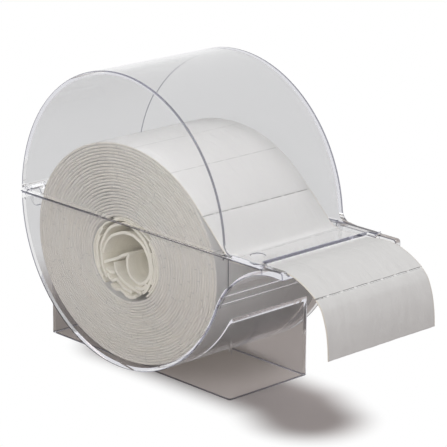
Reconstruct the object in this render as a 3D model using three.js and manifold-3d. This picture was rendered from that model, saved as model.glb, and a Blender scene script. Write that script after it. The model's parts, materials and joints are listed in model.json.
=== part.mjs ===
// Clear countertop dispenser for a soft roll of perforated nail wipes.
// Millimetres, +Z up. X runs from the hinge at the back to the mouth at the front, Y runs along the drum.
// The model is drawn about the drum: X = 0 under the drum's axis, Z = 0 on the table. The last lines move
// the origin to the middle of the footprint.
import * as THREE from 'three';
import { mergeVertices } from 'three/addons/utils/BufferGeometryUtils.js';
import Module from 'manifold-3d';

// Wipe strip and its roll
const stripWidth = 100;
const rollThickness = 1.3;
const webThickness = 1;
const wipeLength = 41;
const rollTurns = 24;
const stepsPerTurn = 30;
const crownPitch = 2;
const sidePitch = 2.4;
const rollSag = 14.9;
const boreSag = 4;
const leaveAngle = THREE.MathUtils.degToRad(43);

// Drum, shared by the base and the lid
const drumRadius = 105;
const wall = 2.4;
const drumLift = 4.2;
const rollSideRoom = 11.1;
const rollEndRoom = 4.1;

// Stand
const standBackInset = 8.8;
const standFrontInset = 13.1;
const standSideInset = 19.3;
const standCornerRadius = 2;

// Lip of the base
const archRadius = 58;
const lipDrop = 3.2;
const noseOverhang = 7.5;
const noseRadius = 2.5;
const noseInset = 0.5;
const railDrop = 0.6;
const guideRoom = 0.9;

// Lip and rim of the lid
const lidFilletRadius = 8;
const tearReach = 29;
const hornLength = 6;
const tearCornerRadius = 2;
const flangeProud = 0.7;
const locatingDepth = 3.5;
const locatingThickness = 1.2;
const markRadius = 4.8;
const markDepth = 0.4;
const markReach = 17;
const markInset = 14.5;

// Hinge
const pinRadius = 1.2;
const knuckleRadius = 3;
const lugWidth = 12;
const lugHeight = 13;
const lugCornerRadius = 3;
const earWidth = 4;
const hingeInset = 17;
const pinHeadRadius = 2;
const pinHeadHeight = 0.9;

// Clearances
const partingGap = 0.3;
const seatGap = 0.35;
const pinGap = 0.2;
const earGap = 0.4;
const perforationGap = 0.4;

// Hang of the strip past the nose of the lip
const creaseInset = 1.5;
const creaseDrop = 2.6;
const slotDrop = 1.8;
const lipRest = 9;
const perforationReach = 24.5;
const perforationDrop = 9.6;
const hangShoulder = 9.8;
const hangReach = 12.5;

// Fineness of the curves
const arcSegments = 30;
const smallSegments = 24;
const joinOverlap = 1;

// Derived sizes
const innerRadius = drumRadius - wall;
const axisHeight = drumLift + drumRadius;
const innerWidth = stripWidth + 2 * rollEndRoom;
const drumWidth = innerWidth + 2 * wall;
const channelWidth = stripWidth + 2 * guideRoom;
const baseTop = axisHeight - partingGap;
const plateTop = axisHeight + wall;
const railTop = plateTop - railDrop;

// The lip's arch is a reversed curve that leaves the drum tangentially and levels out at its top.
const archTop = axisHeight - lipDrop;
const archCentreHeight = archTop - archRadius;
const archCentreReach = Math.sqrt((drumRadius + archRadius) ** 2 - (axisHeight - archCentreHeight) ** 2);
const archAngle = Math.atan2(axisHeight - archCentreHeight, archCentreReach);
const noseReach = archCentreReach + noseOverhang;
const tearEdge = drumRadius + tearReach;
const hornEnd = tearEdge + hornLength;

// The lid's fillet is a second reversed curve, from the drum down to the flat lip.
const filletCentreHeight = plateTop + lidFilletRadius;
const filletCentreReach = Math.sqrt((drumRadius + lidFilletRadius) ** 2 - (filletCentreHeight - axisHeight) ** 2);
const filletAngle = Math.atan2(filletCentreHeight - axisHeight, filletCentreReach);

// The hinge axis lies behind the rim flange, level with the parting gap.
const hingeReach = -(drumRadius + flangeProud + knuckleRadius + earGap);
const hingeHeight = axisHeight - partingGap / 2;
const hingeOffset = drumWidth / 2 - hingeInset;
const pinLength = lugWidth + 2 * (earGap + earWidth);

// The sagged roll is an ellipse that touches the round cradle along two lines.
const rollHalfWidth = innerRadius - rollSideRoom;
const rollHalfHeight = rollHalfWidth - rollSag;
const cradleRadius = innerRadius - seatGap - rollThickness / 2;
const ellipseExcess = rollHalfWidth ** 2 - rollHalfHeight ** 2;
const rollDrop = Math.sqrt(ellipseExcess * (cradleRadius ** 2 - rollHalfWidth ** 2)) / rollHalfWidth;
const contactDrop = (rollDrop * rollHalfWidth ** 2) / ellipseExcess;
const contactAngle = Math.PI + Math.asin((contactDrop - rollDrop) / rollHalfHeight);
const contactTurn = (contactAngle - leaveAngle) / (2 * Math.PI);
const rollHeight = axisHeight - rollDrop;
const boreHalfHeight = rollHalfHeight - (rollTurns - contactTurn) * crownPitch;
const coreRadius = boreHalfHeight - rollThickness - seatGap;

// The crumpled core lies on the floor of the roll's bore, where it has room to turn.
const floorTurn = rollTurns - (leaveAngle + Math.PI / 2) / (2 * Math.PI);
const coreHeight = rollPoint(floorTurn).y + rollThickness + seatGap + coreRadius;

const wasm = await Module();
wasm.setup();

// Solids and meshes

function toSolid(geometry) {
  geometry.deleteAttribute('normal');
  geometry.deleteAttribute('uv');
  const merged = mergeVertices(geometry);
  return new wasm.Manifold(new wasm.Mesh({
    numProp: 3,
    vertProperties: new Float32Array(merged.attributes.position.array),
    triVerts: new Uint32Array(merged.index.array),
  }));
}

function toGeometry(solid) {
  const mesh = solid.getMesh();
  const geometry = new THREE.BufferGeometry();
  geometry.setAttribute('position', new THREE.BufferAttribute(mesh.vertProperties, 3));
  geometry.setIndex(new THREE.BufferAttribute(mesh.triVerts, 1));
  geometry.computeVertexNormals();
  return geometry;
}

function extrude(shape, depth, segments) {
  return new THREE.ExtrudeGeometry(shape, { depth, bevelEnabled: false, curveSegments: segments });
}

// A side view in X and Z, drawn out along Y about the given middle
function acrossDrum(shape, width, middle = 0, segments = arcSegments) {
  const geometry = extrude(shape, width, segments);
  geometry.rotateX(Math.PI / 2);
  geometry.translate(0, middle + width / 2, 0);
  return toSolid(geometry);
}

// A plan in X and Y, drawn up along Z
function upward(shape, bottom, height) {
  const geometry = extrude(shape, height, smallSegments / 4);
  geometry.translate(0, 0, bottom);
  return toSolid(geometry);
}

function cylinderAlongY(radius, length, x, y, z) {
  const geometry = new THREE.CylinderGeometry(radius, radius, length, smallSegments);
  geometry.translate(x, y, z);
  return toSolid(geometry);
}

function polygon(points) {
  return new THREE.Shape(points.map(([x, y]) => new THREE.Vector2(x, y)));
}

function roundedRectangle(left, right, bottom, top, radius) {
  const shape = new THREE.Shape();
  shape.absarc(right - radius, top - radius, radius, 0, Math.PI / 2, false);
  shape.absarc(left + radius, top - radius, radius, Math.PI / 2, Math.PI, false);
  shape.absarc(left + radius, bottom + radius, radius, Math.PI, 1.5 * Math.PI, false);
  shape.absarc(right - radius, bottom + radius, radius, 1.5 * Math.PI, 2 * Math.PI, false);
  return shape;
}

// Base

function baseOutline() {
  const backAngle = Math.PI + Math.asin(partingGap / drumRadius);
  const noseAngle = Math.acos(noseOverhang / archRadius);
  const shape = new THREE.Shape();
  shape.absarc(0, axisHeight, drumRadius, backAngle, 2 * Math.PI - archAngle, false);
  shape.absarc(archCentreReach, archCentreHeight, archRadius, Math.PI - archAngle, noseAngle, true);
  shape.absarc(noseReach - noseRadius, railTop - noseRadius, noseRadius, 0, Math.PI / 2, false);
  shape.lineTo(hornEnd + partingGap, railTop);
  shape.lineTo(hornEnd + partingGap, baseTop);
  return shape;
}

// The room for the roll, open at the top, ending at the drum's front
function cradleRoom() {
  const frontAngle = Math.acos((drumRadius - archCentreReach) / (archRadius + wall));
  const shape = new THREE.Shape();
  shape.absarc(0, axisHeight, innerRadius, Math.PI, 2 * Math.PI - archAngle, false);
  shape.absarc(archCentreReach, archCentreHeight, archRadius + wall, Math.PI - archAngle, frontAngle, true);
  shape.lineTo(drumRadius, axisHeight);
  return shape;
}

// The channel that guides the strip over the lip, between the side rails
function lipChannel() {
  const startAngle = Math.PI - archAngle;
  const endAngle = Math.acos((noseOverhang + joinOverlap) / (archRadius + wall));
  const shape = new THREE.Shape();
  shape.absarc(archCentreReach, archCentreHeight, archRadius + wall, startAngle, endAngle, true);
  shape.lineTo(noseReach + joinOverlap, plateTop);
  shape.lineTo(innerRadius * Math.cos(archAngle), plateTop);
  return shape;
}

function standWalls() {
  const back = -(drumRadius - standBackInset);
  const front = drumRadius - standFrontInset;
  const side = drumWidth / 2 - standSideInset;
  const plan = roundedRectangle(back, front, -side, side, standCornerRadius);
  const hollowRadius = Math.max(standCornerRadius - wall, wall / 4);
  plan.holes.push(roundedRectangle(back + wall, front - wall, -side + wall, side - wall, hollowRadius));
  return upward(plan, 0, baseTop);
}

// A tab on the back wall, with round lower corners, that runs up into a knuckle
function hingeLug(y) {
  const wallFace = -(drumRadius - wall / 2);
  const knuckleBack = hingeReach - knuckleRadius;
  const tabBottom = hingeHeight - lugHeight;
  const gusset = polygon([
    [wallFace, baseTop],
    [hingeReach, baseTop],
    [knuckleBack, hingeHeight],
    [knuckleBack, hingeHeight - knuckleRadius],
    [-drumRadius, tabBottom],
    [wallFace, tabBottom],
  ]);
  const face = roundedRectangle(-lugWidth / 2, lugWidth / 2, tabBottom, axisHeight + lugHeight, lugCornerRadius);
  const mask = extrude(face, drumRadius, smallSegments / 4);
  mask.rotateX(Math.PI / 2);
  mask.rotateZ(Math.PI / 2);
  mask.translate(wallFace - drumRadius, y, 0);
  return acrossDrum(gusset, lugWidth, y)
    .intersect(toSolid(mask))
    .add(cylinderAlongY(knuckleRadius, lugWidth, hingeReach, y, hingeHeight))
    .subtract(cylinderAlongY(pinRadius + pinGap, 2 * lugWidth, hingeReach, y, hingeHeight));
}

function makeBase() {
  let solid = acrossDrum(baseOutline(), drumWidth)
    .add(standWalls())
    .subtract(acrossDrum(cradleRoom(), innerWidth))
    .subtract(acrossDrum(lipChannel(), channelWidth));
  for (const side of [-1, 1]) {
    const trim = new THREE.BoxGeometry(2 * (noseReach - hornEnd - partingGap), 2 * noseInset, 2 * axisHeight);
    trim.translate(noseReach, (side * drumWidth) / 2, axisHeight);
    solid = solid.subtract(toSolid(trim)).add(hingeLug(side * hingeOffset));
  }
  return toGeometry(solid);
}

// Lid

function lidOutline() {
  const shape = new THREE.Shape();
  shape.moveTo(hornEnd, axisHeight);
  shape.lineTo(hornEnd, plateTop);
  shape.absarc(filletCentreReach, filletCentreHeight, lidFilletRadius, 1.5 * Math.PI, Math.PI + filletAngle, true);
  shape.absarc(0, axisHeight, drumRadius, filletAngle, Math.PI, false);
  return shape;
}

function lidRoom() {
  const shape = new THREE.Shape();
  const radius = lidFilletRadius + wall;
  shape.moveTo(filletCentreReach, axisHeight - joinOverlap);
  shape.absarc(filletCentreReach, filletCentreHeight, radius, 1.5 * Math.PI, Math.PI + filletAngle, true);
  shape.absarc(0, axisHeight, innerRadius, filletAngle, Math.PI, false);
  shape.lineTo(-innerRadius, axisHeight - joinOverlap);
  return shape;
}

// A ledge round the back and both sides of the opening, in plan, open at the mouth
function ledgePlan(outset, thickness) {
  const back = -innerRadius - outset;
  const side = innerWidth / 2 + outset;
  const front = innerRadius * Math.cos(filletAngle);
  return polygon([
    [back, -side],
    [front, -side],
    [front, thickness - side],
    [back + thickness, thickness - side],
    [back + thickness, side - thickness],
    [front, side - thickness],
    [front, side],
    [back, side],
  ]);
}

// The rim stands a little proud of the drum; a thin tongue inside it drops into the base and locates the lid.
function rimAndTongue() {
  const back = -drumRadius - flangeProud;
  const side = drumWidth / 2 + flangeProud;
  const rim = roundedRectangle(back, hornEnd, -side, side, flangeProud);
  const room = polygon([
    [-innerRadius, -innerWidth / 2],
    [filletCentreReach, -innerWidth / 2],
    [filletCentreReach, innerWidth / 2],
    [-innerRadius, innerWidth / 2],
  ]);
  rim.holes.push(room);
  const tongue = upward(ledgePlan(-seatGap, locatingThickness), axisHeight - locatingDepth, locatingDepth + wall);
  const ledge = upward(ledgePlan(wall / 2, wall / 2 + seatGap + locatingThickness), axisHeight, wall);
  return upward(rim, axisHeight, wall).add(tongue).add(ledge);
}

// The tear edge is set back between two horns that rest on the base's side rails.
function tearNotch() {
  const side = channelWidth / 2;
  const notch = roundedRectangle(tearEdge, tearEdge + 3 * hornLength, -side, side, tearCornerRadius);
  return upward(notch, axisHeight - wall, 3 * wall);
}

function ejectorMark() {
  const geometry = new THREE.CylinderGeometry(markRadius, markRadius, 2 * markDepth, smallSegments);
  geometry.rotateX(Math.PI / 2);
  geometry.translate(drumRadius + markReach, markInset - drumWidth / 2, plateTop);
  return toSolid(geometry);
}

function hingeEar(y) {
  const wallFace = -(drumRadius - wall / 2);
  const arm = polygon([
    [wallFace, axisHeight],
    [wallFace, plateTop],
    [hingeReach, plateTop],
    [hingeReach, axisHeight],
  ]);
  return acrossDrum(arm, earWidth, y)
    .add(cylinderAlongY(knuckleRadius, earWidth, hingeReach, y, hingeHeight))
    .subtract(cylinderAlongY(pinRadius + pinGap, 2 * earWidth, hingeReach, y, hingeHeight));
}

function makeLid() {
  let solid = acrossDrum(lidOutline(), drumWidth)
    .subtract(acrossDrum(lidRoom(), innerWidth))
    .add(rimAndTongue())
    .subtract(tearNotch())
    .subtract(ejectorMark());
  const earOffset = lugWidth / 2 + earGap + earWidth / 2;
  for (const side of [-1, 1]) {
    solid = solid.add(hingeEar(side * hingeOffset - earOffset)).add(hingeEar(side * hingeOffset + earOffset));
  }
  return toGeometry(solid);
}

// Hinge pin: a rod with a domed head on its outer end, turned about Y
function makePin() {
  const profile = new THREE.Path();
  const end = pinLength / 2 + earGap;
  profile.moveTo(0, -end);
  profile.lineTo(pinRadius, -end);
  profile.lineTo(pinRadius, end);
  profile.lineTo(pinHeadRadius, end);
  profile.quadraticCurveTo(pinHeadRadius, end + pinHeadHeight, 0, end + pinHeadHeight);
  return new THREE.LatheGeometry(profile.getPoints(smallSegments / 4), smallSegments);
}

// Wipes

// A flat strip along a centreline in X and Z, as wide as the wipes, square at both ends
function stripGeometry(line, thickness) {
  const positions = [];
  const faces = [];
  line.forEach((point, i) => {
    const before = line[Math.max(i - 1, 0)];
    const after = line[Math.min(i + 1, line.length - 1)];
    const along = after.clone().sub(before).normalize();
    const outX = (-along.y * thickness) / 2;
    const outZ = (along.x * thickness) / 2;
    for (const [side, out] of [[-1, -1], [1, -1], [1, 1], [-1, 1]]) {
      positions.push(point.x + out * outX, (side * stripWidth) / 2, point.y + out * outZ);
    }
  });
  for (let ring = 0; ring < 4 * (line.length - 1); ring += 4) {
    for (let corner = 0; corner < 4; corner += 1) {
      const a = ring + corner;
      const b = ring + ((corner + 1) % 4);
      faces.push(a, b, b + 4, a, b + 4, a + 4);
    }
  }
  const last = 4 * (line.length - 1);
  faces.push(0, 2, 1, 0, 3, 2, last, last + 1, last + 2, last, last + 2, last + 3);
  const geometry = new THREE.BufferGeometry();
  geometry.setAttribute('position', new THREE.Float32BufferAttribute(positions, 3));
  geometry.setIndex(faces);
  geometry.computeVertexNormals();
  return geometry;
}

// The wound strip, from where the web leaves the roll at the front to the innermost turn
function rollPoint(turn) {
  const angle = leaveAngle + 2 * Math.PI * turn;
  const inward = turn - contactTurn;
  const sink = (boreSag * turn) / rollTurns;
  return new THREE.Vector2(
    (rollHalfWidth - inward * sidePitch) * Math.cos(angle),
    rollHeight - sink + (rollHalfHeight - inward * crownPitch) * Math.sin(angle),
  );
}

function rollLine() {
  const steps = rollTurns * stepsPerTurn;
  return Array.from({ length: steps + 1 }, (_, step) => rollPoint(step / stepsPerTurn));
}

// The least gap between a turn and those within two turns of it, measured on the centreline's points
function leastTurnGap(line) {
  let least = Infinity;
  line.forEach((point, i) => {
    const near = line.slice(i + stepsPerTurn / 2, i + 2 * stepsPerTurn);
    for (const other of near) {
      least = Math.min(least, point.distanceTo(other) - rollThickness);
    }
  });
  return least;
}

// The crumpled inner end, in shares of the core's radius: a bar that folds down into a stem, runs out to
// the right, climbs over in a wide arch and tucks back under itself
const coreFoldShares = [
  [-0.66, -0.16],
  [-0.3, 0.06],
  [0.02, 0.26],
  [0.1, -0.04],
  [0.15, -0.36],
  [0.44, -0.6],
  [0.76, -0.5],
  [0.95, -0.06],
  [0.8, 0.52],
  [0.36, 0.91],
  [-0.2, 0.96],
  [-0.68, 0.69],
  [-0.94, 0.2],
  [-0.88, -0.42],
  [-0.48, -0.84],
  [0.02, -1],
];
const coreSteps = 75;

function coreLine() {
  const folds = coreFoldShares.map(([x, z]) => new THREE.Vector3(x * coreRadius, z * coreRadius, 0));
  const curve = new THREE.CatmullRomCurve3(folds, false, 'centripetal');
  return curve.getSpacedPoints(coreSteps).map((point) => new THREE.Vector2(point.x, point.y));
}

// The web's way from the roll: straight down to a soft crease at the mouth, under the tear edge, over the top
// of the lip and out past the nose, where it hangs
function webCurve() {
  const leave = rollPoint(0);
  const crease = new THREE.Vector2(drumRadius - creaseInset, axisHeight - creaseDrop);
  const start = perforationGap / leave.distanceTo(crease);
  const lipRadius = archRadius + wall + seatGap + webThickness / 2;
  const onLip = (offset) => new THREE.Vector2(
    archCentreReach + offset,
    archCentreHeight + Math.sqrt(lipRadius ** 2 - offset ** 2),
  );
  const perforation = new THREE.Vector2(noseReach + perforationReach, archTop + wall - perforationDrop);
  const hangDrop = Math.sqrt(wipeLength ** 2 - hangReach ** 2);
  const points = [
    leave.clone().lerp(crease, start),
    leave.clone().lerp(crease, 1 / 3),
    leave.clone().lerp(crease, 2 / 3),
    crease,
    new THREE.Vector2(tearEdge, axisHeight - slotDrop),
    onLip(-lipRest),
    onLip(0),
    onLip(noseOverhang),
    perforation,
    new THREE.Vector2(perforation.x + hangShoulder, perforation.y - hangDrop / 2),
    new THREE.Vector2(perforation.x + hangReach, perforation.y - hangDrop),
  ];
  const curve = new THREE.CatmullRomCurve3(points.map((p) => new THREE.Vector3(p.x, p.y, 0)), false, 'centripetal');
  return { curve, perforationShare: (points.length - 3) / (points.length - 1) };
}
const runSteps = 48;
const hangSteps = 12;

// Points along the run and along the front wipe, which stop short of each other at the perforation
function webLines() {
  const { curve, perforationShare } = webCurve();
  const stretch = (from, to, steps) => Array.from({ length: steps + 1 }, (_, step) => {
    const point = curve.getPoint(from + ((to - from) * step) / steps);
    return new THREE.Vector2(point.x, point.y);
  });
  const run = stretch(0, perforationShare, runSteps);
  const hang = stretch(perforationShare, 1, hangSteps);
  const along = curve.getTangent(perforationShare);
  const halfGap = new THREE.Vector2(along.x, along.y).multiplyScalar(perforationGap / 2);
  run[runSteps].sub(halfGap);
  hang[0].add(halfGap);
  return [run, hang];
}

// Assembly

function material(color, roughness, opacity = 1) {
  return new THREE.MeshStandardMaterial({ color, roughness, metalness: 0, opacity, transparent: opacity < 1 });
}

function named(name, geometry, finish) {
  const mesh = new THREE.Mesh(geometry, finish);
  mesh.name = name;
  return mesh;
}

const clearPlastic = material('#e9e9f3', 0.06, 0.3);
const wipe = material('#f1eeea', 0.95);
const creamWipe = material('#ece5da', 0.95);

const dispenser = new THREE.Group();
dispenser.add(named('base', makeBase(), clearPlastic));

const lidPivot = new THREE.Group();
lidPivot.position.set(hingeReach, 0, hingeHeight);
lidPivot.add(named('lid', makeLid().translate(-hingeReach, 0, -hingeHeight), clearPlastic));
dispenser.add(lidPivot);

for (const [name, side] of [['hinge_pin_left', 1], ['hinge_pin_right', -1]]) {
  const pin = named(name, makePin(), clearPlastic);
  pin.position.set(hingeReach, side * hingeOffset, hingeHeight);
  pin.rotation.x = side > 0 ? 0 : Math.PI;
  dispenser.add(pin);
}

const rollCentreline = rollLine();
console.log(`least gap between the roll's turns: ${leastTurnGap(rollCentreline).toFixed(2)} mm`);
dispenser.add(named('roll_turns', stripGeometry(rollCentreline, rollThickness), wipe));

const corePivot = new THREE.Group();
corePivot.position.set(0, 0, coreHeight);
corePivot.add(named('roll_core', stripGeometry(coreLine(), rollThickness), creamWipe));
dispenser.add(corePivot);

const [runLine, hangLine] = webLines();
dispenser.add(named('web_run', stripGeometry(runLine, webThickness), wipe));
dispenser.add(named('front_wipe', stripGeometry(hangLine, webThickness), wipe));

// The origin goes to the middle of the footprint, on the table.
const footprint = new THREE.Box3().setFromObject(dispenser).getCenter(new THREE.Vector3());
dispenser.position.set(-footprint.x, -footprint.y, 0);
console.log(`drum axis at x ${(-footprint.x).toFixed(3)} mm, core axis at z ${coreHeight.toFixed(3)} mm`);

export default dispenser;
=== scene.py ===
"""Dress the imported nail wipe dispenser: clear mouldings, a wound roll, its crumpled core and the strip.

Lengths are in metres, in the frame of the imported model: +X to the mouth, +Y along the drum, +Z up.
Side views are drawn in X and Z, with X measured from the drum's axis.
"""

import json
import math

import bmesh
import bpy
from bpy.props import FloatProperty, FloatVectorProperty, IntProperty, PointerProperty
from mathutils import Matrix, Vector, noise

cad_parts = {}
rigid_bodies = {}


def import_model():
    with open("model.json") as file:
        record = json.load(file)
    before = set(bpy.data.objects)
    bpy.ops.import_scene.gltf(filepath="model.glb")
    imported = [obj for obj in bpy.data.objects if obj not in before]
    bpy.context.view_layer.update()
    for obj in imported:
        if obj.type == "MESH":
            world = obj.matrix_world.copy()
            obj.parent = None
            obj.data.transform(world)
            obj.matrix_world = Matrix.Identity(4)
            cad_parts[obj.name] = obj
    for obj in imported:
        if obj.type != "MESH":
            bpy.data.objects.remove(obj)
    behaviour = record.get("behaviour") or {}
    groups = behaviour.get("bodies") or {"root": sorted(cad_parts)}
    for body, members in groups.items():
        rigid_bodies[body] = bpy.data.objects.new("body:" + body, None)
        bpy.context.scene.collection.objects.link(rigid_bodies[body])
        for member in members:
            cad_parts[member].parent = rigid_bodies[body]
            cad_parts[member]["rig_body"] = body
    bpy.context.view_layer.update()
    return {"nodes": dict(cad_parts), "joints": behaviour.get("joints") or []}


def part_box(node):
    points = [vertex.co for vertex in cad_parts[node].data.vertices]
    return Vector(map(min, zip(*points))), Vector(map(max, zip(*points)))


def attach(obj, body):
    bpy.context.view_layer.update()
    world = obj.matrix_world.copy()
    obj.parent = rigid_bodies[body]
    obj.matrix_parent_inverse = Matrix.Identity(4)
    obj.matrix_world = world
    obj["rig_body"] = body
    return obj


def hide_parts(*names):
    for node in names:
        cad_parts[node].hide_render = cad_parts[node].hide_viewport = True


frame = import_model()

bl_info = {
    "name": "Nail Wipe Dispenser",
    "version": (1, 0, 0),
    "blender": (4, 5, 0),
    "location": "View3D > Sidebar > Dispenser",
    "description": "Builds the clear mouldings, the wound roll and the wipe strip of a nail wipe dispenser",
    "category": "Object",
}

JOINTS = {joint["name"]: joint for joint in frame["joints"]}
DRUM_X, _, CORE_HEIGHT = JOINTS["roll_turn"]["pos_m"]
PARTING_HEIGHT = JOINTS["lid_hinge"]["pos_m"][2]
DRUM_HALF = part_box("base")[1].y
STRIP_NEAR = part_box("roll_turns")[0].y
STRIP_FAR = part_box("roll_turns")[1].y
STRIP_WIDTH = STRIP_FAR - STRIP_NEAR

# Finishes of a moulding, in the order of its material slots; all are copies of one clear plastic
# The edge and tear-edge finishes are painted shade: darker tints for the shade along thick edges
# The rim and hinge finishes are painted light: near-clear tints that take away the shade of their thick
# plastic
WALL, EDGE_SHADE, RIM_LIT, HINGE_LIT, TEAR_SHADE, LID_END = range(6)

# Where those finishes lie: along X from the drum's axis, up or down from the parting line, to the sides
# from the middle of the drum, and inwards from its ends
HINGE_END = -0.1065
RIM_BACK = -0.107
RIM_FRONT = 0.098
RIM_HALF = 0.0045
LINE_HALF = 0.0005
LIP_HALF = 0.008
TEAR_START = 0.115
TEAR_HALF_WIDTH = 0.045
END_DEPTH = 0.004

# Edges of a moulding that bend more than this are rounded
SHARP_BEND = math.radians(25)

# Softboxes: name, place, size, and the setting that holds the power; all face the middle of the object
SOFTBOXES = [
    ("Top Softbox", (0.44, 0.42, 1.30), 0.6, "top_power"),
    ("Side Softbox", (0.05, -1.60, 0.70), 1.2, "side_power"),
    ("Fill Softbox", (1.20, -1.15, 0.35), 1.0, "fill_power"),
]
SOFTBOX_TARGET = (0.0, 0.0, 0.1)

# Ends of the two lines on the floor that the shadow lies along, and where it starts and stops to fade
SHADOW_LINES = [
    ((-0.075, -0.009, 0.0), (0.080, -0.009, 0.0)),
    ((0.080, -0.009, 0.0), (0.108, -0.021, 0.0)),
]
SHADOW_FADE = (0.016, 0.054)
FLOOR_FADE = (0.20, 0.32)

# Side view of the strip from a perforation below the roll's crown to the last one: straight down to the
# crease, under the tear edge, over the lip and out past the nose
RUN_ROUTE = [
    (0.0780, 0.1297),
    (0.0809, 0.1271),
    (0.0931, 0.1157),
    (0.0990, 0.1100),
    (0.1034, 0.1069),
    (0.1090, 0.1058),
    (0.1190, 0.1060),
    (0.1340, 0.1074),
    (0.1421, 0.1086),
    (0.1511, 0.1093),
    (0.1586, 0.1088),
    (0.1650, 0.1074),
    (0.1744, 0.1035),
    (0.1830, 0.0984),
]
# Rows of wipes on that stretch
RUN_WIPES = 3

# Distances over which the dent at a perforation fades out, and over which the strip loosens past the nose
GROOVE_REACH = 0.003
HANG_REACH = 0.040

# Side view of the front wipe, from its perforation to its free edge
FRONT_ROUTE = [
    (0.1833, 0.0981),
    (0.1866, 0.0946),
    (0.1895, 0.0903),
    (0.1929, 0.0808),
    (0.1948, 0.0700),
    (0.1955, 0.0598),
]

# Side views of the crumpled core. The inner end lies as a bar, folds down into a stem, runs out into a cup
# at the front and climbs over in a wide arch. A loose turn goes round it, and short folds lie in waves
# underneath.
CORE_FOLDS = [
    [
        (-0.0232, 0.0740), (-0.0190, 0.0759), (-0.0094, 0.0800), (-0.0020, 0.0840), (0.0026, 0.0854),
        (0.0012, 0.0820), (0.0016, 0.0780), (0.0027, 0.0732), (0.0060, 0.0686), (0.0118, 0.0666),
        (0.0176, 0.0680), (0.0224, 0.0726), (0.0243, 0.0785), (0.0240, 0.0845), (0.0214, 0.0906),
        (0.0162, 0.0962), (0.0082, 0.0999), (-0.0020, 0.1002), (-0.0130, 0.0960), (-0.0200, 0.0902),
        (-0.0234, 0.0840), (-0.0239, 0.0806),
    ],
    [
        (-0.0205, 0.0634), (-0.0252, 0.0719), (-0.0266, 0.0819), (-0.0248, 0.0902), (-0.0196, 0.0980),
        (-0.0110, 0.1040), (0.0000, 0.1066), (0.0106, 0.1046), (0.0194, 0.0984), (0.0252, 0.0890),
        (0.0266, 0.0790), (0.0256, 0.0730), (0.0218, 0.0652), (0.0175, 0.0610),
    ],
    [
        (-0.0120, 0.0766), (-0.0112, 0.0724), (-0.0094, 0.0690), (-0.0054, 0.0660), (0.0001, 0.0636),
        (0.0052, 0.0622), (0.0106, 0.0606), (0.0150, 0.0596),
    ],
    [(-0.0216, 0.0700), (-0.0180, 0.0682), (-0.0128, 0.0686)],
    [
        (-0.0200, 0.0662), (-0.0170, 0.0634), (-0.0134, 0.0626), (-0.0104, 0.0642), (-0.0072, 0.0626),
        (-0.0034, 0.0600), (0.0008, 0.0592), (0.0060, 0.0588),
    ],
    [
        (-0.0156, 0.0594), (-0.0110, 0.0570), (-0.0070, 0.0576), (-0.0036, 0.0570), (0.0008, 0.0552),
        (0.0060, 0.0550), (0.0105, 0.0568),
    ],
    [(0.0095, 0.0636), (0.0150, 0.0634), (0.0192, 0.0654), (0.0212, 0.0686)],
]

# Loose wraps between the core and the wound turns: half width, half height, and the angles of their lower
# and upper ends, seen from the middle
LOOSE_WRAPS = [
    (0.0334, 0.0279, math.radians(-50), math.radians(89.5)),
    (0.0314, 0.0274, math.radians(-40), math.radians(40)),
    (0.0297, 0.0270, math.radians(-25), math.radians(25)),
    (0.0318, 0.0296, math.radians(70), math.radians(89.5)),
]


class ClearPlasticSettings(bpy.types.PropertyGroup):
    """Finish of the two mouldings and their hinge pins."""

    edge_round: FloatProperty(
        name="Edge Round",
        description="Width of the soft edge that the mould leaves",
        default=0.0005,
        unit="LENGTH",
    )
    # Painted shade: width of the strip of darker tint along both outer sides
    painted_shade_strip: FloatProperty(
        name="Painted Shade Strip",
        description="Width of the darker strip along both outer sides",
        default=0.0016,
        unit="LENGTH",
    )
    tint: FloatVectorProperty(
        name="Tint",
        description="Colour of light that has passed one wall",
        subtype="COLOR",
        default=(0.80, 0.80, 0.805),
    )
    # Painted glow: emission colour of paths that have run long inside a wall, standing in for light
    painted_glow: FloatVectorProperty(
        name="Painted Glow",
        description="Colour of light that has run to and fro inside a wall and comes out at an edge",
        subtype="COLOR",
        default=(0.40, 0.40, 0.42),
    )
    # Painted shade: the darker tint of the rounded edges and of the strip along both outer sides
    edge_painted_shade: FloatVectorProperty(
        name="Edge Tint",
        description="Colour of light that has passed a moulded edge",
        subtype="COLOR",
        default=(0.12, 0.12, 0.155),
    )
    # Painted shade: the dark tint of the tear edge
    tear_painted_shade: FloatVectorProperty(
        name="Tear Painted Shade",
        description="Colour of light that has passed the tear edge",
        subtype="COLOR",
        default=(0.07, 0.07, 0.09),
    )
    # Painted light: a near-clear tint for the hinge and the rim, lighter than the walls' own tint
    seam_painted_light: FloatVectorProperty(
        name="Seam Painted Light",
        description="Colour of light that has passed the hinge, or the rim where the lid and the base meet",
        subtype="COLOR",
        default=(0.98, 0.98, 0.98),
    )
    light_share: FloatProperty(
        name="Light Share",
        description="Share of lamp light that passes each face of a moulding",
        default=0.86,
    )
    flow_height: FloatProperty(
        name="Flow Height",
        description="Height of the slow ripple that the moulding flow leaves",
        default=0.00001,
        unit="LENGTH",
    )


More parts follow.
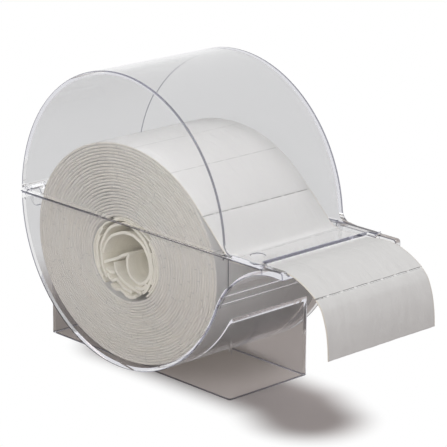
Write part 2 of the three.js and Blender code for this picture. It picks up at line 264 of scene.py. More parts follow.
class WipeSettings(bpy.types.PropertyGroup):
    """Size and finish of the roll and the strip."""

    turns: IntProperty(
        name="Turns",
        description="Turns wound outside the core",
        default=24,
    )
    steps: IntProperty(
        name="Steps",
        description="Sections in each turn",
        default=96,
    )
    half_width: FloatProperty(
        name="Half Width",
        description="Half the width of the sagged roll",
        default=0.0915,
        unit="LENGTH",
    )
    half_height: FloatProperty(
        name="Half Height",
        description="Half the height of the sagged roll",
        default=0.0766,
        unit="LENGTH",
    )
    height: FloatProperty(
        name="Height",
        description="Height of the roll's middle above the table",
        default=0.08505,
        unit="LENGTH",
    )
    crown_pitch: FloatProperty(
        name="Crown Pitch",
        description="Distance between turns above and below the core",
        default=0.0020,
        unit="LENGTH",
    )
    side_pitch: FloatProperty(
        name="Side Pitch",
        description="Distance between turns before and behind the core",
        default=0.0024,
        unit="LENGTH",
    )
    bore_sag: FloatProperty(
        name="Bore Sag",
        description="How far the innermost turn lies below the outer one",
        default=0.0040,
        unit="LENGTH",
    )
    leave_angle: FloatProperty(
        name="Leave Angle",
        description="Where the strip leaves the roll",
        default=math.radians(43),
        subtype="ANGLE",
    )
    lead: FloatProperty(
        name="Lead",
        description="Length that leaves the roll before the first perforation",
        default=0.0129,
        unit="LENGTH",
    )
    contact_turn: FloatProperty(
        name="Contact Turn",
        description="Turn at which the roll rests in the cradle",
        default=0.513,
    )
    layer_share: FloatProperty(
        name="Layer Share",
        description="Thickness of a layer as a share of the distance between turns",
        default=0.93,
    )
    wander: FloatProperty(
        name="Wander",
        description="How far the turns stray from their curve",
        default=0.0006,
        unit="LENGTH",
    )
    edge_wander: FloatProperty(
        name="Edge Wander",
        description="How far the edges of the turns stand in or out",
        default=0.0005,
        unit="LENGTH",
    )
    edge_depth: FloatProperty(
        name="Edge Depth",
        description="How far the edge of a layer is rounded, as a share of its thickness",
        default=0.22,
    )
    wrap_thickness: FloatProperty(
        name="Wrap Thickness",
        description="Thickness of the loose wraps round the core",
        default=0.0014,
        unit="LENGTH",
    )
    fold_thickness: FloatProperty(
        name="Fold Thickness",
        description="Thickness of the loose strip in the core",
        default=0.0021,
        unit="LENGTH",
    )
    sheet_thickness: FloatProperty(
        name="Sheet Thickness",
        description="Thickness of the strip where it is pulled flat",
        default=0.0006,
        unit="LENGTH",
    )
    groove: FloatProperty(
        name="Groove",
        description="Depth of the dent along a perforation",
        default=0.0004,
        unit="LENGTH",
    )
    light_share: FloatProperty(
        name="Light Share",
        description="Share of lamp light that passes each face of a wipe",
        default=0.6,
    )
    wipe_length: FloatProperty(
        name="Wipe Length",
        description="Distance between two rows of perforation",
        default=0.0389,
        unit="LENGTH",
    )
    strip_colour: FloatVectorProperty(
        name="Strip Colour",
        description="Colour of the wipes",
        subtype="COLOR",
        default=(0.83, 0.82, 0.81),
    )
    core_colour: FloatVectorProperty(
        name="Core Colour",
        description="Colour of the crumpled core",
        subtype="COLOR",
        default=(0.95, 0.91, 0.81),
    )
    # Painted shade: a darker, warmer colour on the cut edges, which make up the roll's side faces
    edge_shade_colour: FloatVectorProperty(
        name="Edge Shade Colour",
        description="Colour of the cut edges of the wipes",
        subtype="COLOR",
        default=(0.80, 0.75, 0.67),
    )


class StageSettings(bpy.types.PropertyGroup):
    """Camera, lamps and floor."""

    camera_place: FloatVectorProperty(
        name="Camera Place",
        description="Where the camera stands",
        subtype="XYZ",
        default=(1.12983, -1.07707, 0.57919),
    )
    camera_turn: FloatVectorProperty(
        name="Camera Turn",
        description="Tilt, roll and heading of the camera",
        subtype="EULER",
        default=(math.radians(73.160), math.radians(0.549), math.radians(46.287)),
    )
    lens: FloatProperty(
        name="Lens",
        description="Focal length in millimetres",
        default=190.74,
    )
    top_power: FloatProperty(
        name="Top Power",
        description="Power of the softbox above",
        default=8.5,
        unit="POWER",
    )
    side_power: FloatProperty(
        name="Side Power",
        description="Power of the softbox at the side",
        default=11.0,
        unit="POWER",
    )
    fill_power: FloatProperty(
        name="Fill Power",
        description="Power of the softbox by the camera",
        default=5.2,
        unit="POWER",
    )
    room_light: FloatProperty(
        name="Room Light",
        description="Strength of the even light of the room",
        default=0.22,
    )
    floor_colour: FloatVectorProperty(
        name="Floor Colour",
        description="Colour of the floor",
        subtype="COLOR",
        default=(0.54, 0.49, 0.48),
    )
    floor_lift: FloatVectorProperty(
        name="Floor Lift",
        description="Light that the floor adds where it is seen through the clear stand",
        subtype="COLOR",
        default=(0.13, 0.115, 0.10),
    )


def new_object(name, mesh):
    """Link a new object that shows the mesh."""
    piece = bpy.data.objects.new(name, mesh)
    bpy.context.scene.collection.objects.link(piece)
    return piece


def finish_piece(piece, node, material):
    """Give a piece its material, and let it stand for its CAD node and move with that node's body."""
    piece.data.materials.append(material)
    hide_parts(node)
    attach(piece, frame["nodes"][node]["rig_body"])


def smooth_line(points, step):
    """Even points along a soft curve through the given ones."""
    ends = [2 * Vector(points[0]) - Vector(points[1]), 2 * Vector(points[-1]) - Vector(points[-2])]
    knots = [ends[0], *map(Vector, points), ends[1]]
    dense = []
    for before, start, end, after in zip(knots, knots[1:], knots[2:], knots[3:]):
        for part in range(12):
            t = part / 12
            bend = 2 * before - 5 * start + 4 * end - after
            twist = 3 * start - before - 3 * end + after
            dense.append(start + 0.5 * t * (end - before + t * (bend + t * twist)))
    dense.append(knots[-2])
    return even_line(dense, step)


def even_line(points, step):
    """Points at even distances along a line of short segments."""
    reach = [0.0]
    for start, end in zip(points, points[1:]):
        reach.append(reach[-1] + (end - start).length)
    count = max(2, round(reach[-1] / step))
    line = []
    segment = 0
    for index in range(count + 1):
        target = reach[-1] * index / count
        while segment < len(points) - 2 and reach[segment + 1] < target:
            segment += 1
        share = (target - reach[segment]) / (reach[segment + 1] - reach[segment])
        line.append(points[segment].lerp(points[segment + 1], share))
    return line


def line_length(line):
    """Length of a line of points."""
    return sum((end - start).length for start, end in zip(line, line[1:]))


def outward(line, index):
    """The side of a line that lies to the left of its direction, as a unit vector."""
    along = line[min(index + 1, len(line) - 1)] - line[max(index - 1, 0)]
    return Vector((-along.y, along.x)).normalized()


def strip_layers(mesh):
    """Marks on each point of a strip: wipes along it, place across it, and how far its slits are open."""
    layers = mesh.verts.layers.float
    return [layers.get(name) or layers.new(name) for name in ("along", "across", "opened")]


def add_sheet(mesh, line, place, columns, stations=None):
    """Add an open sheet along a side-view line; place gives the point of a row at a share of the width."""
    along, across, opened = strip_layers(mesh)
    first, last = stations or (0.5, 0.5)
    rows = []
    for index, point in enumerate(line):
        station = first + (last - first) * index / (len(line) - 1)
        row = []
        for column in range(columns + 1):
            share = column / columns
            vert = mesh.verts.new(place(index, point, share))
            vert[along] = station
            vert[across] = STRIP_NEAR + share * STRIP_WIDTH
            vert[opened] = min(0.1 + abs(station + 1), 1)
            row.append(vert)
        rows.append(row)
    for row, after in zip(rows, rows[1:]):
        for column in range(columns):
            face = mesh.faces.new((row[column], row[column + 1], after[column + 1], after[column]))
            face.smooth = True


def to_mesh(mesh, name):
    """Turn a working mesh into mesh data."""
    data = bpy.data.meshes.new(name)
    mesh.to_mesh(data)
    mesh.free()
    return data


def add_thickness(piece, thickness, edge_round):
    """Thicken an open sheet to both sides and soften its edges."""
    body = piece.modifiers.new("Thickness", "SOLIDIFY")
    body.thickness = thickness
    body.offset = 0
    edge = piece.modifiers.new("Soft Edges", "BEVEL")
    edge.width = edge_round
    edge.segments = 2
    edge.limit_method = "ANGLE"
    edge.angle_limit = math.radians(60)


class Nodes:
    """A short way to add nodes to a tree and link them."""

    def __init__(self, tree):
        self.tree = tree
        tree.nodes.clear()

    def add(self, kind, inputs=None, **values):
        """Add a node, set its properties, and set or link its inputs."""
        node = self.tree.nodes.new(kind)
        for name, value in values.items():
            setattr(node, name, value)
        for name, value in (inputs or {}).items():
            self.feed(node.inputs[name], value)
        return node

    def feed(self, socket, value):
        """Link an output to a socket, or set the socket itself."""
        if isinstance(value, bpy.types.NodeSocket):
            self.tree.links.new(value, socket)
        else:
            socket.default_value = value

    def math(self, operation, first, second=0.0):
        """Add a Math node and return its output."""
        return self.add("ShaderNodeMath", {0: first, 1: second}, operation=operation).outputs[0]

    def vectors(self, operation, inputs, output):
        """Add a Vector Math node and return one of its outputs."""
        return self.add("ShaderNodeVectorMath", inputs, operation=operation).outputs[output]

    def colours(self, share, first, second):
        """Mix two colours and return the result."""
        node = self.add("ShaderNodeMix", data_type="RGBA")
        for name, value in {"Factor": share, "A": first, "B": second}.items():
            self.feed(next(part for part in node.inputs if part.name == name and part.enabled), value)
        return next(part for part in node.outputs if part.enabled)

    def group(self, group, inputs):
        """Place a node group."""
        return self.add("ShaderNodeGroup", inputs, node_tree=group)


def new_material(name):
    """A material with an empty node tree."""
    material = bpy.data.materials.new(name)
    material.use_nodes = True
    return material, Nodes(material.node_tree)


def new_group(name, inputs, outputs):
    """A shader node group with float sockets."""
    group = bpy.data.node_groups.new(name, "ShaderNodeTree")
    for socket, default in inputs:
        made = group.interface.new_socket(socket, in_out="INPUT", socket_type="NodeSocketFloat")
        made.default_value = default
    for socket in outputs:
        group.interface.new_socket(socket, in_out="OUTPUT", socket_type="NodeSocketFloat")
    return group


def fibre_group():
    """Soft cellulose: fine fibres, slow clouds, and creases that run along the strip."""
    name = "Cellulose Fibre"
    if name in bpy.data.node_groups:
        return bpy.data.node_groups[name]
    group = new_group(name, [("Fineness", 900.0), ("Cloud Size", 60.0)], ["Height", "Cloud", "Crease"])
    nodes = Nodes(group)
    inputs = nodes.add("NodeGroupInput")
    place = nodes.add("ShaderNodeTexCoord").outputs["Object"]
    fibres = nodes.add(
        "ShaderNodeTexNoise",
        {
            "Vector": place,
            "Scale": inputs.outputs["Fineness"],
            "Detail": 4.0,
            "Roughness": 0.65,
            "Distortion": 1.5,
        },
    )
    clouds = nodes.add(
        "ShaderNodeTexNoise",
        {"Vector": place, "Scale": inputs.outputs["Cloud Size"], "Detail": 3.0, "Roughness": 0.5},
    )
    lump = nodes.math("MULTIPLY", clouds.outputs["Fac"], 0.6)
    height = nodes.math("ADD", fibres.outputs["Fac"], lump)
    along = nodes.add("ShaderNodeAttribute", attribute_name="along").outputs["Fac"]
    across = nodes.add("ShaderNodeAttribute", attribute_name="across").outputs["Fac"]
    on_shade_strip = nodes.add("ShaderNodeCombineXYZ", {0: nodes.math("MULTIPLY", across, 70.0), 1: along})
    creases = nodes.add(
        "ShaderNodeTexNoise",
        {"Vector": on_shade_strip.outputs[0], "Scale": 1.0, "Detail": 3.0, "Distortion": 1.2},
    )
    nodes.add(
        "NodeGroupOutput",
        {"Height": height, "Cloud": clouds.outputs["Fac"], "Crease": creases.outputs["Fac"]},
    )
    return group


def perforation_group():
    """Rows of short slits across the strip, one for each wipe, and the cut edges along its sides."""
    name = "Perforation Rows"
    if name in bpy.data.node_groups:
        return bpy.data.node_groups[name]
    sizes = [("Slit Width", 0.018), ("Slit Pitch", 0.0125), ("Half Width", 0.05)]
    group = new_group(name, sizes, ["Slit", "Edge"])
    nodes = Nodes(group)
    inputs = nodes.add("NodeGroupInput")
    along = nodes.add("ShaderNodeAttribute", attribute_name="along").outputs["Fac"]
    across = nodes.add("ShaderNodeAttribute", attribute_name="across").outputs["Fac"]
    opened = nodes.add("ShaderNodeAttribute", attribute_name="opened").outputs["Fac"]
    from_row = nodes.math("PINGPONG", along, 0.5)
    on_row = nodes.math("LESS_THAN", from_row, nodes.math("MULTIPLY", inputs.outputs["Slit Width"], 0.5))
    along_slit = nodes.math("FRACT", nodes.math("DIVIDE", across, inputs.outputs["Slit Pitch"]))
    in_slit = nodes.math("MULTIPLY", nodes.math("LESS_THAN", along_slit, 0.82), opened)
    from_edge = nodes.math("SUBTRACT", inputs.outputs["Half Width"], nodes.math("ABSOLUTE", across))
    edge = nodes.add(
        "ShaderNodeMapRange",
        {"Value": from_edge, "From Max": 0.0012, "To Min": 1.0, "To Max": 0.0},
    )
    slit = nodes.math("MULTIPLY", on_row, in_slit)
    nodes.add("NodeGroupOutput", {"Slit": slit, "Edge": edge.outputs["Result"]})
    return group


def wipe_material(name, colour, edge_shade_colour, light_share):
    """Soft matt cellulose with rows of perforation, thin enough to pass some light; painted shade darkens
    the slits and tints the cut edges with the edge colour.
    """
    if name in bpy.data.materials:
        return bpy.data.materials[name]
    material, nodes = new_material(name)
    fibre = nodes.group(fibre_group(), {"Fineness": 900.0, "Cloud Size": 60.0})
    marks = nodes.group(perforation_group(), {"Half Width": STRIP_WIDTH / 2})
    pale = (*colour, 1.0)
    shade = tuple(0.93 * part for part in colour) + (1.0,)
    # Painted shade in the perforation slits
    slit_shade = tuple(0.5 * part for part in colour) + (1.0,)
    clouded = nodes.colours(fibre.outputs["Cloud"], pale, shade)
    # Painted shade on the cut edges along the sides
    edge_shaded = nodes.colours(marks.outputs["Edge"], clouded, (*edge_shade_colour, 1.0))
    mixed = nodes.colours(marks.outputs["Slit"], edge_shaded, slit_shade)
    height = nodes.math("SUBTRACT", fibre.outputs["Height"], marks.outputs["Slit"])
    fine = nodes.add("ShaderNodeBump", {"Height": height, "Strength": 0.25, "Distance": 0.0004})
    bump = nodes.add(
        "ShaderNodeBump",
        {
            "Height": fibre.outputs["Crease"],
            "Strength": 1.0,
            "Distance": 0.0009,
            "Normal": fine.outputs["Normal"],
        },
    )
    shader = nodes.add(
        "ShaderNodeBsdfPrincipled",
        {
            "Base Color": mixed,
            "Roughness": 0.95,
            "Specular IOR Level": 0.15,
            "Sheen Weight": 0.1,
            "Sheen Roughness": 0.6,
            "Normal": bump.outputs["Normal"],
        },
    )
    shadow = nodes.add("ShaderNodeLightPath").outputs["Is Shadow Ray"]
    surface = nodes.add(
        "ShaderNodeMixShader",
        {
            0: nodes.math("MULTIPLY", shadow, light_share),
            1: shader.outputs["BSDF"],
            2: nodes.add("ShaderNodeBsdfTransparent").outputs["BSDF"],
        },
    )
    nodes.add("ShaderNodeOutputMaterial", {"Surface": surface.outputs["Shader"]})
    return material


def strip_material(wipes):
    """White wipes of the roll and the strip."""
    return wipe_material("Wipe Strip", wipes.strip_colour, wipes.edge_shade_colour, wipes.light_share)


def core_material(wipes):
    """Cream wipes of the crumpled core."""
    return wipe_material("Core Wipe", wipes.core_colour, wipes.core_colour, wipes.light_share)


def plastic_material(name, tint, bend, gloss, plastic):
    """Clear polished plastic with a slow ripple and a trace of haze, and a painted glow where a path runs
    long inside a wall; lamps shine through it.
    """
    if name in bpy.data.materials:
        return bpy.data.materials[name]
    material, nodes = new_material(name)
    place = nodes.add("ShaderNodeTexCoord").outputs["Object"]
    flow = nodes.add(
        "ShaderNodeTexNoise",
        {"Vector": place, "Scale": 22.0, "Detail": 1.0, "Roughness": 0.4},
    )
    bump = nodes.add(
        "ShaderNodeBump",
        {"Height": flow.outputs["Fac"], "Strength": 1.0, "Distance": plastic.flow_height},
    )
    haze = nodes.add(
        "ShaderNodeTexNoise",
        {"Vector": place, "Scale": 45.0, "Detail": 3.0, "Roughness": 0.6},
    )
    roughness = nodes.add(
        "ShaderNodeMapRange",
        {"Value": haze.outputs["Fac"], "To Min": 0.01, "To Max": 0.05},
    )
    # Painted glow: a path thrown back four times inside a wall, or that has met nine faces before, gives
    # off the painted glow colour
    path = nodes.add("ShaderNodeLightPath")
    glow_after_bounces = nodes.math("GREATER_THAN", path.outputs["Glossy Depth"], 3.5)
    glow_after_faces = nodes.math("COMPARE", path.outputs["Ray Depth"], 9.0)
    shader = nodes.add(
        "ShaderNodeBsdfPrincipled",
        {
            "Base Color": (*tint, 1.0),
            "Roughness": roughness.outputs["Result"],
            "IOR": bend,
            "Transmission Weight": 1.0,
            "Coat Weight": gloss,
            "Coat Roughness": 0.2,
            "Normal": bump.outputs["Normal"],
            "Emission Color": (*plastic.painted_glow, 1.0),
            "Emission Strength": nodes.math("MAXIMUM", glow_after_bounces, glow_after_faces),
        },
    )
    material.cycles.emission_sampling = "NONE"
    passed = plastic.light_share
    clear = nodes.add("ShaderNodeBsdfTransparent", {"Color": (passed, passed, passed, 1.0)})
    surface = nodes.add(
        "ShaderNodeMixShader",
        {0: path.outputs["Is Shadow Ray"], 1: shader.outputs["BSDF"], 2: clear.outputs["BSDF"]},
    )
    nodes.add("ShaderNodeOutputMaterial", {"Surface": surface.outputs["Shader"]})
    return material


def moulding_part(face, strip):
    """The finish of a face of a moulding, as the number of its material slot."""
    middle = face.calc_center_median()
    reach = middle.x - DRUM_X
    level = middle.z - PARTING_HEIGHT
    if reach < HINGE_END:
        return HINGE_LIT
    if reach > RIM_FRONT and abs(level) < LIP_HALF:
        # The front of the lip above the parting line, in the middle, takes the painted tear-edge shade
        in_front = face.normal.x > 0.8 and reach > TEAR_START
        return TEAR_SHADE if in_front and level > 0 and abs(middle.y) < TEAR_HALF_WIDTH else WALL
    on_rim = abs(level) < RIM_HALF and RIM_BACK < reach < RIM_FRONT
    on_line = abs(level) < LINE_HALF and abs(face.normal.z) > 0.9
    # Faces in the strip along both outer sides take the painted edge shade, except on the rim
    on_shade_strip = abs(middle.y) > DRUM_HALF - strip and abs(face.normal.y) < 0.5
    if on_shade_strip and (on_line or not on_rim):
        return EDGE_SHADE
    if on_rim:
        return RIM_LIT
    on_end = abs(face.normal.y) > 0.9 and abs(middle.y) > DRUM_HALF - END_DEPTH
    return LID_END if on_end and level > 0 else WALL


def moulded_copy(node, name, edge_round, strip):
    """A copy of a CAD solid with smooth curves, soft edges and a strip of painted shade along both outer
    sides.
    """
    mesh = bmesh.new()
    mesh.from_mesh(frame["nodes"][node].data)
    bmesh.ops.remove_doubles(mesh, verts=mesh.verts, dist=0.0001)
    bmesh.ops.dissolve_limit(mesh, angle_limit=math.radians(0.4), verts=mesh.verts, edges=mesh.edges)
    # Cut both outer sides where the strip of painted shade starts
    for side in (-1, 1):
        whole = [*mesh.verts, *mesh.edges, *mesh.faces]
        cut = (0, side * (DRUM_HALF - strip), 0)
        bmesh.ops.bisect_plane(mesh, geom=whole, dist=0.000001, plane_co=cut, plane_no=(0, 1, 0))
    for face in mesh.faces:
        face.smooth = True
        face.material_index = moulding_part(face, strip)
    rounded = mesh.edges.layers.float.new("bevel_weight_edge")
    for edge in mesh.edges:
        bend = edge.calc_face_angle_signed(0)
        in_rim = all(face.material_index == RIM_LIT for face in edge.link_faces)
        in_hinge = all(face.material_index == HINGE_LIT for face in edge.link_faces)
        edge[rounded] = bend > SHARP_BEND and not in_rim and not in_hinge
        edge.smooth = abs(bend) < SHARP_BEND or edge[rounded] > 0
    piece = new_object(name, to_mesh(mesh, name))
    soft = piece.modifiers.new("Soft Edges", "BEVEL")
    soft.width = edge_round
    soft.segments = 2
    soft.limit_method = "WEIGHT"
    soft.use_clamp_overlap = False
    # The rounded edges take the painted edge shade
    soft.material = EDGE_SHADE
    shading = piece.modifiers.new("Flat Walls", "WEIGHTED_NORMAL")
    shading.mode = "FACE_AREA"
    shading.weight = 100
    shading.keep_sharp = True
    return piece


def finish_moulding(piece, node, plastic):
    """Give a moulding its finishes: name, tint, how far it bends light, and gloss; the darker edge and
    tear-edge tints are painted shade, the near-clear rim and hinge tints painted light.
    """
    finishes = {
        WALL: ("Clear Plastic", plastic.tint, 1.18, 0.0),
        EDGE_SHADE: ("Plastic Edge", plastic.edge_painted_shade, 1.02, 0.3),
        RIM_LIT: ("Plastic Rim", plastic.seam_painted_light, 1.002, 0.0),
        HINGE_LIT: ("Plastic Hinge", plastic.seam_painted_light, 1.18, 0.0),
        TEAR_SHADE: ("Plastic Tear Edge", plastic.tear_painted_shade, 1.02, 0.0),
        LID_END: ("Plastic End", plastic.tint, 1.25, 0.0),
    }
    finish_piece(piece, node, plastic_material(*finishes[WALL], plastic))
    for slot in (EDGE_SHADE, RIM_LIT, HINGE_LIT, TEAR_SHADE, LID_END):
        piece.data.materials.append(plastic_material(*finishes[slot], plastic))


class DISPENSER_OT_make_mouldings(bpy.types.Operator):
    """Make the base and the lid, two clear mouldings"""

    bl_idname = "dispenser.make_mouldings"
    bl_label = "Make Mouldings"

    def execute(self, context):
        plastic = context.scene.dispenser_plastic
        for node, name in [("base", "base_moulding"), ("lid", "lid_moulding")]:
            piece = moulded_copy(node, name, plastic.edge_round, plastic.painted_shade_strip)
            finish_moulding(piece, node, plastic)
        return {"FINISHED"}


class DISPENSER_OT_make_hinge_pins(bpy.types.Operator):
    """Make the two pins that the lid swings on"""

    bl_idname = "dispenser.make_hinge_pins"
    bl_label = "Make Hinge Pins"

    def execute(self, context):
        plastic = context.scene.dispenser_plastic
        for node in ("hinge_pin_left", "hinge_pin_right"):
            piece = moulded_copy(node, node + "_rod", plastic.edge_round / 2, plastic.painted_shade_strip)
            finish_moulding(piece, node, plastic)
        return {"FINISHED"}


def roll_point(turn, wipes):
    """Side-view point of the wound strip, counted in turns from where it leaves the roll."""
    angle = wipes.leave_angle + 2 * math.pi * turn
    inward = turn - wipes.contact_turn
    sink = wipes.bore_sag * turn / wipes.turns
    side, rise = math.cos(angle), math.sin(angle)
    settled = min(turn / 6, 1) * min((wipes.turns - turn) / 3, 1)
    stray = wipes.wander * settled * noise.noise(Vector((1.6 * side, 1.6 * rise, 0.15 * turn)))
    return Vector(
        (
            (wipes.half_width - inward * wipes.side_pitch + stray) * side,
            wipes.height - sink + (wipes.half_height - inward * wipes.crown_pitch + stray) * rise,
        )
    )


def layer_half(turn, wipes):
    """Half the thickness of the wound strip: the layers are looser before and behind the core."""
    loose = math.cos(wipes.leave_angle + 2 * math.pi * turn) ** 2
    return wipes.layer_share * (wipes.crown_pitch + (wipes.side_pitch - wipes.crown_pitch) * loose) / 2


def roll_sections(wipes):
    """Turn, side-view point and half thickness of each section, from the perforation on the run inwards."""
    start = roll_point(0, wipes)
    away = (Vector(RUN_ROUTE[1]) - Vector(RUN_ROUTE[0])).normalized()
    rise = Vector((-away.y, away.x))
    sections = []
    for part in range(24, 0, -1):
        share = part / 24
        half = layer_half(0, wipes) * (1 - share) + wipes.sheet_thickness / 2 * share
        dent = wipes.groove * max(0, 1 - (1 - share) * wipes.lead / GROOVE_REACH) ** 2
        point = start + away * wipes.lead * share + rise * (layer_half(0, wipes) - half - dent)
        sections.append((0, point, half))
    for step in range(wipes.turns * wipes.steps + 1):
        turn = step / wipes.steps
        sections.append((turn, roll_point(turn, wipes), layer_half(turn, wipes)))
    return sections


def roll_mesh(wipes):
    """The wound turns as one soft strip with rounded long edges."""
    mesh = bmesh.new()
    along, across, opened = strip_layers(mesh)
    sections = roll_sections(wipes)
    line = [point for _, point, _ in sections]
    # Points round a long edge of a layer: inset counted in edge roundings, and level in half thicknesses
    half_profile = [(2.0, -1.0), (0.5, -0.8), (0.0, 0.0), (0.5, 0.8), (2.0, 1.0)]
    rings = []
    station = -RUN_WIPES
    for step, (turn, point, half) in enumerate(sections):
        if step:
            station -= (point - line[step - 1]).length / wipes.wipe_length
        angle = wipes.leave_angle + 2 * math.pi * turn
        out = outward(line, step)
        place = Vector((2.2 * math.cos(angle), 2.2 * math.sin(angle), 0.83 * turn))
        near = STRIP_NEAR + wipes.edge_wander * (noise.noise(place) + 1) / 2
        far = STRIP_FAR - wipes.edge_wander * (noise.noise(place + Vector((7, 3, 0))) + 1) / 2
        inset = 2 * half * wipes.edge_depth
        ring = [(near + depth * inset, level) for depth, level in half_profile]
        ring += [(far - depth * inset, level) for depth, level in reversed(half_profile)]
        verts = []
        for width, level in ring:
            flat = point + level * half * out
            vert = mesh.verts.new((DRUM_X + flat.x, width, flat.y))
            vert[along] = station
            vert[across] = width
            vert[opened] = 0.5
            verts.append(vert)
        rings.append(verts)
    size = len(rings[0])
    for ring, after in zip(rings, rings[1:]):
        for corner in range(size):
            follow = (corner + 1) % size
            mesh.faces.new((ring[corner], ring[follow], after[follow], after[corner])).smooth = True
    for ring in (rings[0], rings[-1]):
        for edge in mesh.faces.new(ring).edges:
            edge.smooth = False
    bmesh.ops.recalc_face_normals(mesh, faces=mesh.faces)
    return to_mesh(mesh, "wound_roll"), line_length(line)


def loose_wrap(wipes, side, size):
    """Side view of one loose wrap, on the front (+1) or the back (-1) of the core."""
    half_width, half_height, lower, upper = size
    line = []
    for step in range(41):
        angle = lower + (upper - lower) * step / 40
        stray = 0.00025 * noise.noise(Vector((4 * angle, 9 * side, 900 * half_width)))
        line.append(
            Vector(
                (
                    side * (half_width + stray) * math.cos(angle),
                    wipes.height - wipes.bore_sag + (half_height + stray) * math.sin(angle),
                )
            )
        )
    return line


class DISPENSER_OT_make_roll(bpy.types.Operator):
    """Make the wound turns of the roll and the loose wraps inside them"""

    bl_idname = "dispenser.make_roll"
    bl_label = "Make Roll"

    def execute(self, context):
        wipes = context.scene.dispenser_wipes
        mesh, length = roll_mesh(wipes)
        roll = new_object("wound_roll", mesh)
        finish_piece(roll, "roll_turns", strip_material(wipes))

        mesh = bmesh.new()
        length = 0.0
        for side in (-1, 1):
            for size in LOOSE_WRAPS:
                line = loose_wrap(wipes, side, size)
                length += line_length(line)

                def place(index, point, share):
                    wave = 1 + noise.noise(Vector((60 * point.x, 60 * point.y, 3 * share)))
                    edge = 0.0006 * (1 - 2 * share) * wave
                    return (DRUM_X + point.x, STRIP_NEAR + share * STRIP_WIDTH + edge, point.y)

                add_sheet(mesh, line, place, columns=12)
        wraps = new_object("loose_wraps", to_mesh(mesh, "loose_wraps"))
        add_thickness(wraps, wipes.wrap_thickness, edge_round=0.0004)
        finish_piece(wraps, "roll_turns", core_material(wipes))
        return {"FINISHED"}


class DISPENSER_OT_make_core(bpy.types.Operator):
    """Make the crumpled innermost folds of the roll"""

    bl_idname = "dispenser.make_core"
    bl_label = "Make Core"

    def execute(self, context):
        wipes = context.scene.dispenser_wipes
        mesh = bmesh.new()
        for number, route in enumerate(CORE_FOLDS):
            line = smooth_line(route, step=0.0008)

            def place(index, point, share, number=number):
                arm = point - Vector((0, CORE_HEIGHT))
                turn = noise.noise(Vector((40 * point.x, 40 * point.y, 2.0 * share)))
                shrink = 1 - share * (1 - share) * (0.8 + 0.3 * turn)
                edge = 0.0011 * (1 + noise.noise(Vector((110 * point.x, 110 * point.y, 1.7 * number))))
                width = STRIP_NEAR + share * STRIP_WIDTH + edge * (1 - 2 * share)
                return (DRUM_X + shrink * arm.x, width, CORE_HEIGHT + shrink * arm.y)

            add_sheet(mesh, line, place, columns=16)
        piece = new_object("crumpled_core", to_mesh(mesh, "crumpled_core"))
        add_thickness(piece, wipes.fold_thickness, edge_round=0.0005)
        finish_piece(piece, "roll_core", core_material(wipes))
        return {"FINISHED"}


class DISPENSER_OT_make_strip(bpy.types.Operator):
    """Make the strip from the roll to the mouth, and the front wipe that hangs from it"""

    bl_idname = "dispenser.make_strip"
    bl_label = "Make Strip"

    def execute(self, context):
        wipes = context.scene.dispenser_wipes
        material = strip_material(wipes)
        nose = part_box("base")[1].x - DRUM_X
        strips = [
            ("web_run", "strip_run", RUN_ROUTE, ["base_moulding", "wound_roll"]),
            ("front_wipe", "front_wipe_sheet", FRONT_ROUTE, ["strip_run"]),
        ]
        for node, name, route, rests_on in strips:
            line = smooth_line(route, step=0.0010)
            stations = (-RUN_WIPES, 0.0) if node == "web_run" else (0.0, 0.97)

            def place(index, point, share, line=line):
                side = 2 * share - 1
                past_nose = max(point.x - nose, 0) / HANG_REACH
                out = outward(line, index)
                loose = 0.2 + past_nose
                ripple = 0.0004 * loose * noise.noise(Vector((26 * share, 14 * point.x, 14 * point.y)))
                dent = wipes.groove * max(0, 1 - (point - line[0]).length / GROOVE_REACH) ** 2
                flat = point + (ripple - dent) * out
                twist = 0.0009 * side * past_nose
                return (DRUM_X + flat.x + twist, STRIP_NEAR + share * STRIP_WIDTH, flat.y + 0.6 * twist)

            mesh = bmesh.new()
            add_sheet(mesh, line, place, columns=48, stations=stations)
            piece = new_object(name, to_mesh(mesh, name))
            add_thickness(piece, wipes.sheet_thickness, edge_round=0.0001)
            finish_piece(piece, node, material)
        return {"FINISHED"}


def background_rays(nodes):
    """Masks of the rays that see the background: straight on, and by way of gloss or clear plastic."""
    path = nodes.add("ShaderNodeLightPath").outputs
    turned = nodes.math("MAXIMUM", path["Is Glossy Ray"], path["Is Transmission Ray"])
    unscattered = nodes.math("LESS_THAN", path["Diffuse Depth"], 0.5)
    return path["Is Camera Ray"], nodes.math("MULTIPLY", turned, unscattered)


def fade(nodes, value, start, end):
    """A soft step from 0 to 1."""
    inputs = {"Value": value, "From Min": start, "From Max": end}
    return nodes.add("ShaderNodeMapRange", inputs, interpolation_type="SMOOTHSTEP").outputs["Result"]


def from_line(nodes, place, start, end):
    """Distance of a place from the line between two points."""
    whole = Vector(end) - Vector(start)
    step = whole / whole.length_squared
    part = nodes.vectors("SUBTRACT", {0: place, 1: start}, "Vector")
    along = nodes.vectors("DOT_PRODUCT", {0: part, 1: step}, "Value")
    share = nodes.add("ShaderNodeClamp", {"Value": along}).outputs["Result"]
    foot = nodes.vectors("SCALE", {0: whole, "Scale": share}, "Vector")
    return nodes.vectors("DISTANCE", {0: part, 1: foot}, "Value")


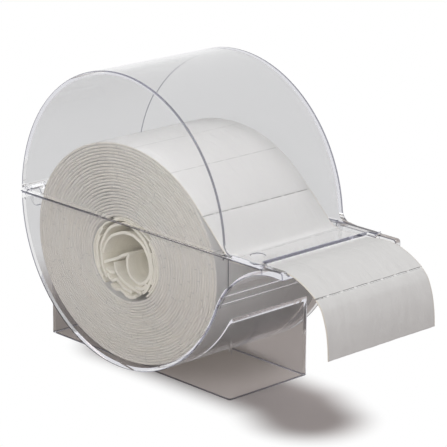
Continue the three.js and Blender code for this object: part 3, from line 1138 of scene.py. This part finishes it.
def floor_material(stage):
    """A pale floor: its shadow shows under the stand and before it, and plain white further off."""
    material, nodes = new_material("Pale Floor")
    direct, indirect = background_rays(nodes)
    place = nodes.add("ShaderNodeNewGeometry").outputs["Position"]
    under_stand, under_wipe = [from_line(nodes, place, *ends) for ends in SHADOW_LINES]
    from_shadow = nodes.math("MINIMUM", under_stand, under_wipe)
    from_middle = nodes.vectors("LENGTH", {0: place}, "Value")
    seen_white = nodes.math("MULTIPLY", direct, fade(nodes, from_shadow, *SHADOW_FADE))
    passed_white = nodes.math("MULTIPLY", indirect, fade(nodes, from_middle, *FLOOR_FADE))
    all_white = nodes.math("MAXIMUM", seen_white, passed_white)
    matt = nodes.add("ShaderNodeBsdfDiffuse", {"Color": (*stage.floor_colour, 1.0)})
    lift = nodes.add("ShaderNodeEmission", {"Color": (*stage.floor_lift, 1.0), "Strength": indirect})
    near = nodes.add("ShaderNodeAddShader", {0: matt.outputs["BSDF"], 1: lift.outputs["Emission"]})
    white = nodes.add("ShaderNodeEmission", {"Color": (1.0, 1.0, 1.0, 1.0), "Strength": 1.0})
    surface = nodes.add(
        "ShaderNodeMixShader",
        {0: all_white, 1: near.outputs["Shader"], 2: white.outputs["Emission"]},
    )
    nodes.add("ShaderNodeOutputMaterial", {"Surface": surface.outputs["Shader"]})
    return material


def set_world(stage):
    """Even room light on the object, and plain white behind it, also in gloss and through clear plastic."""
    world = bpy.data.worlds.new("Studio")
    world.use_nodes = True
    nodes = Nodes(world.node_tree)
    room = nodes.add("ShaderNodeBackground", {"Color": (1.0, 1.0, 1.0, 1.0), "Strength": stage.room_light})
    white = nodes.add("ShaderNodeBackground", {"Color": (1.0, 1.0, 1.0, 1.0), "Strength": 1.0})
    all_white = nodes.math("MAXIMUM", *background_rays(nodes))
    surface = nodes.add(
        "ShaderNodeMixShader",
        {0: all_white, 1: room.outputs["Background"], 2: white.outputs["Background"]},
    )
    nodes.add("ShaderNodeOutputWorld", {"Surface": surface.outputs["Shader"]})
    bpy.context.scene.world = world


def add_softbox(name, place, size, power):
    """An area lamp that faces the middle of the object."""
    lamp = bpy.data.lights.new(name, "AREA")
    lamp.shape = "SQUARE"
    lamp.size = size
    lamp.energy = power
    holder = bpy.data.objects.new(name, lamp)
    holder.location = place
    aim = Vector(SOFTBOX_TARGET) - Vector(place)
    holder.rotation_euler = aim.to_track_quat("-Z", "Y").to_euler()
    holder.visible_camera = False
    bpy.context.scene.collection.objects.link(holder)


class DISPENSER_OT_set_stage(bpy.types.Operator):
    """Set the camera, the softboxes, the white room and the pale floor"""

    bl_idname = "dispenser.set_stage"
    bl_label = "Set Stage"

    def execute(self, context):
        stage = context.scene.dispenser_stage
        camera = bpy.data.cameras.new("Photo Camera")
        camera.lens = stage.lens
        camera.sensor_width = 36.0
        holder = bpy.data.objects.new("Photo Camera", camera)
        tilt, roll, heading = stage.camera_turn
        turn = Matrix.Rotation(heading, 4, "Z")
        turn = turn @ Matrix.Rotation(tilt, 4, "X") @ Matrix.Rotation(roll, 4, "Z")
        holder.matrix_world = Matrix.Translation(stage.camera_place) @ turn
        context.scene.collection.objects.link(holder)
        context.scene.camera = holder

        mesh = bmesh.new()
        bmesh.ops.create_grid(mesh, x_segments=8, y_segments=8, size=4.0)
        floor = new_object("pale_floor", to_mesh(mesh, "pale_floor"))
        floor.location.z = -0.0002
        floor.data.materials.append(floor_material(stage))

        set_world(stage)
        for name, place, size, power in SOFTBOXES:
            add_softbox(name, place, size, getattr(stage, power))
        context.scene.view_settings.view_transform = "Standard"
        return {"FINISHED"}


class DISPENSER_PT_panel(bpy.types.Panel):
    """Lists the pieces of the dispenser and their settings"""

    bl_idname = "DISPENSER_PT_panel"
    bl_label = "Nail Wipe Dispenser"
    bl_space_type = "VIEW_3D"
    bl_region_type = "UI"
    bl_category = "Dispenser"

    def draw(self, context):
        """Draw a button for each operator and a box for each group of settings."""
        for operator in OPERATORS:
            self.layout.operator(operator.bl_idname)
        for name in SETTINGS:
            group = getattr(context.scene, name)
            box = self.layout.box()
            for key in group.__annotations__:
                box.prop(group, key)


OPERATORS = (
    DISPENSER_OT_set_stage,
    DISPENSER_OT_make_mouldings,
    DISPENSER_OT_make_hinge_pins,
    DISPENSER_OT_make_roll,
    DISPENSER_OT_make_core,
    DISPENSER_OT_make_strip,
)
SETTINGS = {
    "dispenser_plastic": ClearPlasticSettings,
    "dispenser_wipes": WipeSettings,
    "dispenser_stage": StageSettings,
}


def register():
    """Register the settings, the operators and the panel."""
    for settings in SETTINGS.values():
        bpy.utils.register_class(settings)
    for operator in OPERATORS:
        bpy.utils.register_class(operator)
    bpy.utils.register_class(DISPENSER_PT_panel)
    for name, settings in SETTINGS.items():
        setattr(bpy.types.Scene, name, PointerProperty(type=settings))


def unregister():
    """Take back what register has added."""
    for name in SETTINGS:
        delattr(bpy.types.Scene, name)
    bpy.utils.unregister_class(DISPENSER_PT_panel)
    for operator in reversed(OPERATORS):
        bpy.utils.unregister_class(operator)
    for settings in SETTINGS.values():
        bpy.utils.unregister_class(settings)


def main():
    """Make the stage and every piece."""
    register()
    bpy.ops.dispenser.set_stage()
    bpy.ops.dispenser.make_mouldings()
    bpy.ops.dispenser.make_hinge_pins()
    bpy.ops.dispenser.make_roll()
    bpy.ops.dispenser.make_core()
    bpy.ops.dispenser.make_strip()


if __name__ == "__main__":
    main()
